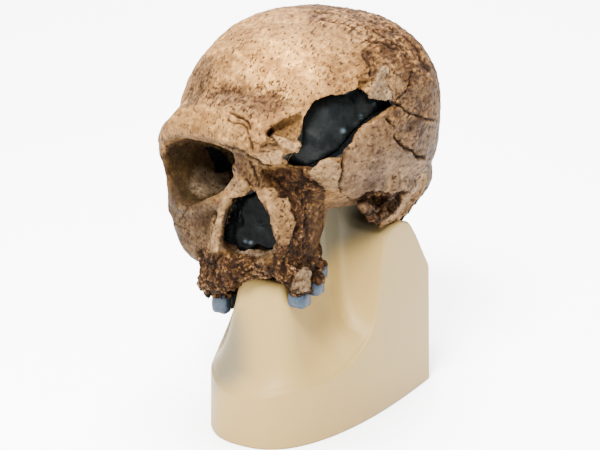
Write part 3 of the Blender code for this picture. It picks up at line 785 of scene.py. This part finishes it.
def sutures(points):
    # Wandering joins between the bones of the vault, and the right ear hole.
    across, back, up = points.T
    wiggle = 1.5 * noise(points, 5, 90) + 0.8 * noise(points, 2.2, 91)
    crown = np.array((0, -14, 100))
    rearPoint = np.array((0, 66, 64))
    far = 9    # added where a join has ended
    middle = np.abs(across + wiggle)
    middle += far * (smoothStep(-12, -18, back) + smoothStep(64, 70, back) + (up < 40))
    coronal = np.abs((points - crown) @ (0, -0.94, 0.34) + wiggle)
    coronal += far * ((across > -1) + smoothStep(44, 36, up))
    lambdoid = np.abs((points - rearPoint) @ (0, 0.87, -0.5) + wiggle)
    lambdoid += far * smoothStep(8, 0, up)
    squamous = np.abs(np.hypot(back + 8, up - 3) - 42 + wiggle)
    squamous += far * ((across > -34) + smoothStep(6, 0, up))
    nearest = np.minimum(np.minimum(middle, coronal), np.minimum(lambdoid, squamous))
    hole = smoothStep(4.5, 2.5, np.hypot(back - 2, up + 4)) * (across < -40)
    return smoothStep(1.0, 0.25, nearest) + 4 * hole


def sitOnTeeth(points):
    # The jaw's skin ends above each crown; the teeth are pieces of their own.
    for row in teeth.values():
        for tooth in row:
            held = toothBox(points, tooth, 1.2)
            points[held, 2] = tooth[2] + 0.6 + 0.1 * (points[held, 2] - tooth[2])


def buildCranium():
    skin = skinOver("cranium_skin", boneNodes, skinVoxel, soften=7, extra=bars.values())
    points = coordsOf(skin) - skullAt
    normals = normalsOf(skin)
    sitOnTeeth(points)
    spots = seenAt(points + skullAt)[0]
    view = inView(points + skullAt, normals)
    wander = np.stack([noise(points, 5, 50 + i) for i in range(2)], 1) * 1.6
    wander += np.stack([noise(points, 1.8, 60 + i) for i in range(2)], 1) * 0.8
    bent = spots + wander
    colours, rough, sponge = groundTones(points)
    # cavity: the dark of cracks and joins, and painted shade in pits, hollows and plate rims.
    cavity = np.zeros(len(points))
    gloss = np.zeros(len(points))
    height = 0.5 * layered(points, 24, 3, 1) + 0.22 * layered(points, 5, 3, 2)

    def near(outline, reach):
        # The skin's points in view near an outline.
        low, high = np.min(outline, 0) - reach, np.max(outline, 0) + reach
        return np.flatnonzero((view > 0) & np.all((spots > low) & (spots < high), 1))

    for outline, tone, share, extra, soft in stainsAndPaintedLight.values():
        at = near(outline, soft + 4)
        inside = smoothStep(-soft / 2, soft / 2, insideOutline(bent[at], outline)) * view[at]
        colours[at] = toward(colours[at], tone, inside * share)
        rough[at] += inside * extra
    rough = np.clip(rough, 0, 1)

    groove = sutures(points) * (1 - 0.75 * view)
    height -= 0.7 * groove
    cavity += groove * 0.7
    height += 1.6 * np.exp(-((points[:, 2] - 22) / 7) ** 2) * smoothStep(58, 76, points[:, 1])
    fibres = layered(points, (4.5, 22, 6), 3, 70)
    grit = layered(points, 4, 3, 14)
    height += rough * (0.85 * fibres + 0.35 * grit) * (1 - sponge)
    cavity += smoothStep(0.15, -0.55, fibres) * rough * 0.55 * (1 - sponge)
    pits = smoothStep(0.30, 0.10, nearestCell(points + 0.8 * grit[:, None], 4.4, 8))
    pits *= smoothStep(0.15, 0.6, noise(points, 12, 9) + rough * 0.8)
    height -= 0.6 * pits
    cavity += pits * 0.7

    # In the sunk hollows the tone laid on is painted shade.
    for outline, rise, tone, share, edge in plates.values():
        at = near(outline, 8)
        inside = insideOutline(bent[at], outline)
        step = smoothStep(-0.6, 0.8 if rise > 0 else 2.6, inside) * view[at]
        height[at] += rise * step
        colours[at] = toward(colours[at], tone, step * share)
        rough[at] *= 1 - 0.45 * step
        sponge[at] *= 1 - step * (rise > 0)
        rim = smoothStep(-2.2, -0.5, inside) * smoothStep(0.5, -0.5, inside) * view[at]
        cavity[at] = cavity[at] * (1 - 0.6 * step) + rim * edge * smoothStep(-0.9, 0.5, grit[at])
    for line, width, deep in cracks.values():
        at = near(line, 6)
        away, place = alongLine(bent[at], line)
        ends = smoothStep(-0.02, 0.07, place) * smoothStep(1.02, 0.93, place)
        groove = smoothStep(width, width * 0.25, away) * ends * view[at]
        lip = smoothStep(width * 2.6, width * 1.2, away) * ends * view[at]
        height[at] += 0.35 * deep * lip - 1.3 * deep * groove
        cavity[at] += groove * 0.85

    # Lumps: hollows between them darkened as painted shade, tops turned toward amber, partly the
    # crumbs' paler colour and partly painted highlight.
    lumps = (0.5 - nearestCell(points + 0.9 * grit[:, None], 2.6, 12)) * 1.9
    lumps += 1.5 * layered(points, (5, 5, 8), 4, 13)
    height += sponge * lumps
    cavity += sponge * smoothStep(0.3, -0.7, lumps) * 1.2
    colours = toward(colours, "amber", sponge * smoothStep(0.4, 1.5, lumps) * 0.75)

    for outline in blackened.values():
        at = near(outline, 6)
        inside = smoothStep(-0.4, 0.6, insideOutline(spots[at] + wander[at] * 0.5, outline))
        gloss[at] = np.maximum(gloss[at], inside * smoothStep(0, 0.2, view[at]))
    hollow = np.clip(gloss, 0, 1)
    height *= 1 - 0.7 * hollow
    points += normals * height[:, None]
    setCoords(skin, points + skullAt)
    setTone(skin, "tone", colours)
    setMask(skin, "rough", rough)
    setMask(skin, "cavity", cavity)
    setMask(skin, "gloss", gloss)
    setMask(skin, "porous", sponge)
    smoothShaded(skin)
    boneLook().wear(skin)
    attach(skin, "root")
    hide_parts(*boneNodes)
    print("cranium", len(skin.data.polygons))
    return skin


def molar(name, tooth, look):
    # Rounded block whose biting face carries four cusps and a cross of grooves.
    x, y, z, wide, long, tall = tooth
    around, rows = 40, 26
    coords = []
    for j in range(rows + 1):
        polar = math.pi * j / rows
        for i in range(around):
            turn = 2 * math.pi * i / around
            ring = abs(math.sin(polar)) ** 0.55
            px = math.copysign(abs(math.cos(turn)) ** 0.62, math.cos(turn)) * ring
            py = math.copysign(abs(math.sin(turn)) ** 0.62, math.sin(turn)) * ring
            pz = math.copysign(abs(math.cos(polar)) ** 0.5, math.cos(polar))
            waist = 1 - 0.10 * smoothStep(-0.2, 1.0, pz)
            down = (tall + 3) / 2
            cusp = math.cos(math.pi * px) * 0.5 + math.cos(math.pi * py) * 0.5
            bite = smoothStep(-0.3, -1.0, pz) * (0.5 + cusp) * 0.75
            coords.append((x + px * (wide / 2 + 0.35) * waist, y + py * (long / 2 + 0.2) * waist,
                           z - tall / 2 + 1.2 + pz * down + bite))
    coords = np.array(coords)
    coords += 0.25 * np.stack([layered(coords, 5, 2, 80 + i) for i in range(3)], 1)
    faces = []
    for j in range(rows):
        for i in range(around):
            k = (i + 1) % around
            low, high = j * around, (j + 1) * around
            faces.append((low + i, low + k, high + k, high + i))
    piece = linked(name, meshFrom(name, (coords + skullAt) * mm, faces))
    bm = bmesh.new()
    bm.from_mesh(piece.data)
    bmesh.ops.remove_doubles(bm, verts=bm.verts, dist=0.00002)
    bmesh.ops.recalc_face_normals(bm, faces=bm.faces)
    bm.to_mesh(piece.data)
    bm.free()
    smoothShaded(piece)
    look.wear(piece)
    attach(piece, "root")
    return piece


# Dents and swells of the black sheets: place in the picture, size in picture units, height in mm
# and the strength of the painted glint (a painted highlight) there.
swells = {
    "temple": [
        ((361, 117), 3, 0.5, 0.8), ((356, 124), 4.5, 0.8, 0.1), ((343, 131), 4, 0.6, 0.8),
        ((345, 143), 3, 0.3, 0.6), ((374, 104), 3, 0.4, 0.45), ((336, 140), 6, -1.0, 0),
        ((316, 122), 12, -1.0, 0),
    ],
    "nose": [
        ((246, 241), 3, 0.3, 0.7), ((251, 242), 3, 0.3, 0.8), ((228, 238), 2.6, 0.3, 0.5),
        ((227, 228), 2.4, 0, 0.3), ((240, 222), 4, -0.8, 0), ((262, 226), 5, 0.8, 0.1),
    ],
}


# Matt patch of the temple's paint, in the picture.
dullSpot = (318, 121)
dullSize = 16


def backing(side, node, look):
    piece = skinOver(side + "_backing", [node], skinVoxel, swell=0.0, soften=8)
    points = coordsOf(piece)
    spots = seenAt(points)[0]
    height = 0.28 * layered(points, 11, 3, 30)
    # Painted glints, broken up, at the listed swells.
    paintedGlint = np.zeros(len(points))
    broken = smoothStep(-0.5, 0.3, noise(points, (6, 6, 1.2), 33))
    for spot, size, rise, pale in swells[side]:
        away = np.linalg.norm(spots - spot, axis=1) / size
        height += rise * np.exp(-away * away)
        paintedGlint += pale * np.exp(-(1.7 * away) ** 2) * broken
    setCoords(piece, points + normalsOf(piece) * height[:, None])
    setMask(piece, "paintedGlint", paintedGlint)
    dull = np.linalg.norm(spots - dullSpot, axis=1) / dullSize
    setMask(piece, "dull", np.exp(-dull ** 2))
    smoothShaded(piece)
    look.wear(piece)
    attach(piece, "root")
    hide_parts(node)
    return piece


# The plinth, mm in the part's frame.
plinthHalf = 52
plinthBack = 72
plinthLength = 144
plinthPower = 2.5         # 2 is an ellipse, more is boxier
plinthDraft = 0.045       # how much its walls lean in over its height
plinthTop = 127
plinthShelf = 7           # rise of the shelf behind the front edge
plinthCorner = 3.5        # cut of the back corners, and its length along the side
plinthCornerRun = 7
edgeRound = 2.0
footRound = 0.8
plinthHub = np.array((0.0, 8.0))
# Place from front to back and height of its upper edge.
lipLine = [
    (-72, 29), (-60, 30.5), (-44, 32), (-33, 34.5), (-21, 39), (-12, 44), (-4, 50), (2, 58),
    (5, 66), (7, 77), (9, 92), (11, 103), (14, 110), (20, 113), (32, 114), (42, 110.5), (50, 101),
    (60, 86), (68, 75), (72, 68),
]
# Blocks that rise from the plinth: half width, front, back, top and flare.
risers = [(11.5, -45, 30, 93, 10), (15, -6, 40, 127, 5)]


# Painted shade in the plinth's hollows and under the skull: outline in the picture, softness and
# strength.
paintedShade = {
    "scoop": ([
        (208, 372), (216, 345), (228, 318), (240, 312), (246, 340), (247, 372), (232, 386),
        (212, 388),
    ], 15, 0.9),
    "underSkull": ([
        (316, 186), (365, 196), (386, 228), (366, 238), (340, 250), (322, 268), (314, 240),
    ], 14, 0.95),
}


def plinthSurface(x, y):
    # Height of the plinth's top over each point of its plan.
    rows = np.linspace(-74, 74, 600)
    edge = np.interp(rows, *np.array(lipLine).T)
    kernel = np.exp(-np.linspace(-2.2, 2.2, 21) ** 2)
    edge = np.convolve(np.pad(edge, 10, "edge"), kernel / kernel.sum(), "valid")
    depth = np.clip((plinthBack - y) / plinthLength, 0, 1)
    reach = (np.abs(x) / plinthHalf) ** plinthPower + depth ** plinthPower
    inward = 70 * (1 - reach ** (1 / plinthPower))
    shelf = (1 - np.exp(-np.maximum(0, inward) / 10)) * np.clip(-y / 12, 0, 1)
    z = np.interp(y, rows, edge) + plinthShelf * shelf
    for half, front, back, top, flare in risers:
        beside = np.maximum(0, np.abs(x) - half)
        past = np.maximum(np.maximum(0, front - y), np.maximum(0, y - back))
        away = np.hypot(beside, past) / flare
        z = z + np.maximum(0, top - z) / (1 + away ** 3)
    return z


def plinthPlan(count):
    # The plan's outline, from the back's middle round by the left, the front and the right.
    turn = np.linspace(0, math.pi / 2, count)
    depth = np.sin(turn) ** 1.2
    half = plinthHalf * np.maximum(0, 1 - depth ** plinthPower) ** (1 / plinthPower)
    y = plinthBack - plinthLength * depth
    half = half - plinthCorner * np.clip(1 - (plinthBack - y) / plinthCornerRun, 0, 1) ** 2
    side = np.stack([half, y], 1)
    backEdge = np.stack([np.linspace(0, half[0], 24)[:-1], np.full(23, float(plinthBack))], 1)
    right = np.concatenate([backEdge, side])
    left = right[-2:0:-1] * (-1, 1)
    return np.concatenate([right, left])


def buildPlinth():
    plan = plinthPlan(180)
    hub = plinthHub
    reach = np.linalg.norm(plan - hub, axis=1)
    inner = np.linspace(0, 1, 90)[1:] ** 0.8
    rings = []
    for share in inner:
        inset = edgeRound + (reach - edgeRound) * (1 - share)
        spot = hub + (plan - hub) * (1 - inset / reach)[:, None]
        rings.append(np.column_stack([spot, plinthSurface(*spot.T)]))
    rim = plinthSurface(*plan.T)
    for turn in np.linspace(0.2, math.pi / 2, 6):
        inset = edgeRound * (1 - math.sin(turn))
        spot = hub + (plan - hub) * (1 - inset / reach)[:, None]
        rings.append(np.column_stack([spot, rim - edgeRound * (1 - math.cos(turn))]))
    wallTop = rim - edgeRound
    for share in np.linspace(0, 1, 40)[1:]:
        rings.append(np.column_stack([plan, wallTop * (1 - share) + footRound * share]))
    foot = hub + (plan - hub) * (1 - footRound / reach)[:, None]
    rings.append(np.column_stack([foot, np.zeros(len(plan))]))
    hubTop = float(plinthSurface(hub[:1], hub[1:])[0])
    coords = np.concatenate([[(*hub, hubTop)], *rings, [(*hub, 0)]])
    lean = 1 - plinthDraft * coords[:, 2] / plinthTop
    coords[:, :2] *= lean[:, None]
    around = len(plan)
    faces = [(0, 1 + i, 1 + (i + 1) % around) for i in range(around)]
    for j in range(len(rings) - 1):
        for i in range(around):
            k = (i + 1) % around
            low, high = 1 + j * around, 1 + (j + 1) * around
            faces.append((low + i, high + i, high + k, low + k))
    last = 1 + (len(rings) - 1) * around
    faces += [(last + (i + 1) % around, last + i, len(coords) - 1) for i in range(around)]
    piece = linked("plinth_body", meshFrom("plinth_body", coords * mm, faces))
    bm = bmesh.new()
    bm.from_mesh(piece.data)
    bmesh.ops.remove_doubles(bm, verts=bm.verts, dist=0.00001)
    bmesh.ops.recalc_face_normals(bm, faces=bm.faces)
    bm.to_mesh(piece.data)
    bm.free()
    smoothShaded(piece)
    points = coordsOf(piece)
    spots = seenAt(points)[0]
    # Painted shade in the scoop and under the skull.
    shade = np.zeros(len(points))
    for outline, soft, share in paintedShade.values():
        shade = np.maximum(shade, smoothStep(-soft, soft, insideOutline(spots, outline)) * share)
    normals = normalsOf(piece)
    shade *= smoothStep(12, 20, points[:, 2]) * smoothStep(-0.3, 0.1, normals[:, 2] - normals[:, 1])
    setMask(piece, "shade", shade * inView(points, normals))
    plinthLook().wear(piece)
    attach(piece, "root")
    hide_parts("plinth")
    print("plinth", len(piece.data.polygons))
    return piece


def studio():
    reach = 3
    corners = [(-reach, -reach, 0), (reach, -reach, 0), (reach, reach, 0), (-reach, reach, 0)]
    floor = linked("floor", meshFrom("floor", corners, [(0, 1, 2, 3)]))
    look = Look("paleFloor")
    look.set(Base_Color=(0.96, 0.96, 0.96), Roughness=0.7)
    look.wear(floor)
    world = bpy.data.worlds.new("studio")
    world.use_nodes = True
    sky = world.node_tree.nodes["Background"]
    sky.inputs["Color"].default_value = (1, 1, 1, 1)
    sky.inputs["Strength"].default_value = 1.75
    bpy.context.scene.world = world
    # Place, aim, size in m, and power in W.
    lamps = {
        "key": ((0.16, -0.95, 1.45), (0, 0, 0.13), 0.5, 172),
        "top": ((-0.05, 0.15, 1.6), (0, 0, 0.13), 0.6, 90),
        "backdrop": ((-0.8, 1.5, 1.5), (-0.8, 1.5, 0), 1.6, 150),
    }
    for name, (spot, goal, size, power) in lamps.items():
        lamp = bpy.data.objects.new(name, bpy.data.lights.new(name, "AREA"))
        lamp.data.size = size
        lamp.data.energy = power
        lamp.location = spot
        lamp.rotation_euler = (Vector(goal) - Vector(spot)).to_track_quat("-Z", "Y").to_euler()
        bpy.context.scene.collection.objects.link(lamp)


def camera():
    eye = bpy.data.objects.new("camera", bpy.data.cameras.new("camera"))
    bpy.context.scene.collection.objects.link(eye)
    eye.location = eyeAt * mm
    eye.rotation_euler = Vector(aimAt - eyeAt).to_track_quat("-Z", "Y").to_euler()
    eye.data.sensor_width = sensor
    eye.data.lens = lens
    eye.data.clip_start = 0.05
    bpy.context.scene.camera = eye


camera()
studio()
buildCranium()
blueTooth = toothLook()
for side, row in teeth.items():
    for i, tooth in enumerate(row):
        molar("tooth_" + side + "_" + str(i + 1), tooth, blueTooth)
print("teeth")
backing("temple", "black_temple_backing", blackLook("glossBlack", 1.0, 0.04))
# The nose's black is the same paint, darkened as painted shade.
backing("nose", "black_nose_backing", blackLook("shadedBlack", 0.3, 0.02))
print("backings")
buildPlinth()
